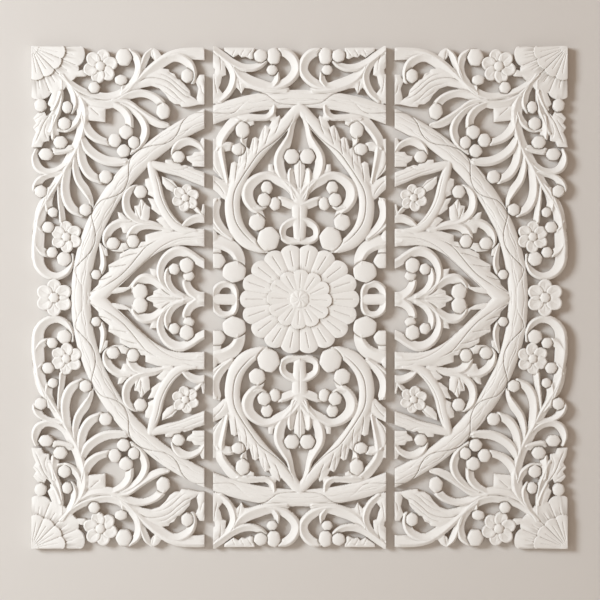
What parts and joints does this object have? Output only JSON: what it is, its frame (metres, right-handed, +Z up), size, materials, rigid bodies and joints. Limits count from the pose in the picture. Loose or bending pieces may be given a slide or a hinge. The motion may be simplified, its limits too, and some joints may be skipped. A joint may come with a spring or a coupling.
{
  "type": "decorative wall panel set",
  "caption": "Set of three carved openwork wall panels in white painted wood, one shared pattern of scrolls, leaves and flowers around a rosette.",
  "frame": {"origin": "back face of the middle panel, behind the centre of the rosette, where it lies on the wall", "axes": "+Y into the wall, away from the carved face, which looks towards -Y; +X along the width of the set; +Z up"},
  "size_m": [0.96, 0.02, 0.9],
  "materials": {
    "white_paint": "matt white paint on carved wood"
  },
  "bodies": {
    "root": {"left_panel": "white_paint", "centre_panel": "white_paint", "right_panel": "white_paint"}
  },
  "joints": []
}
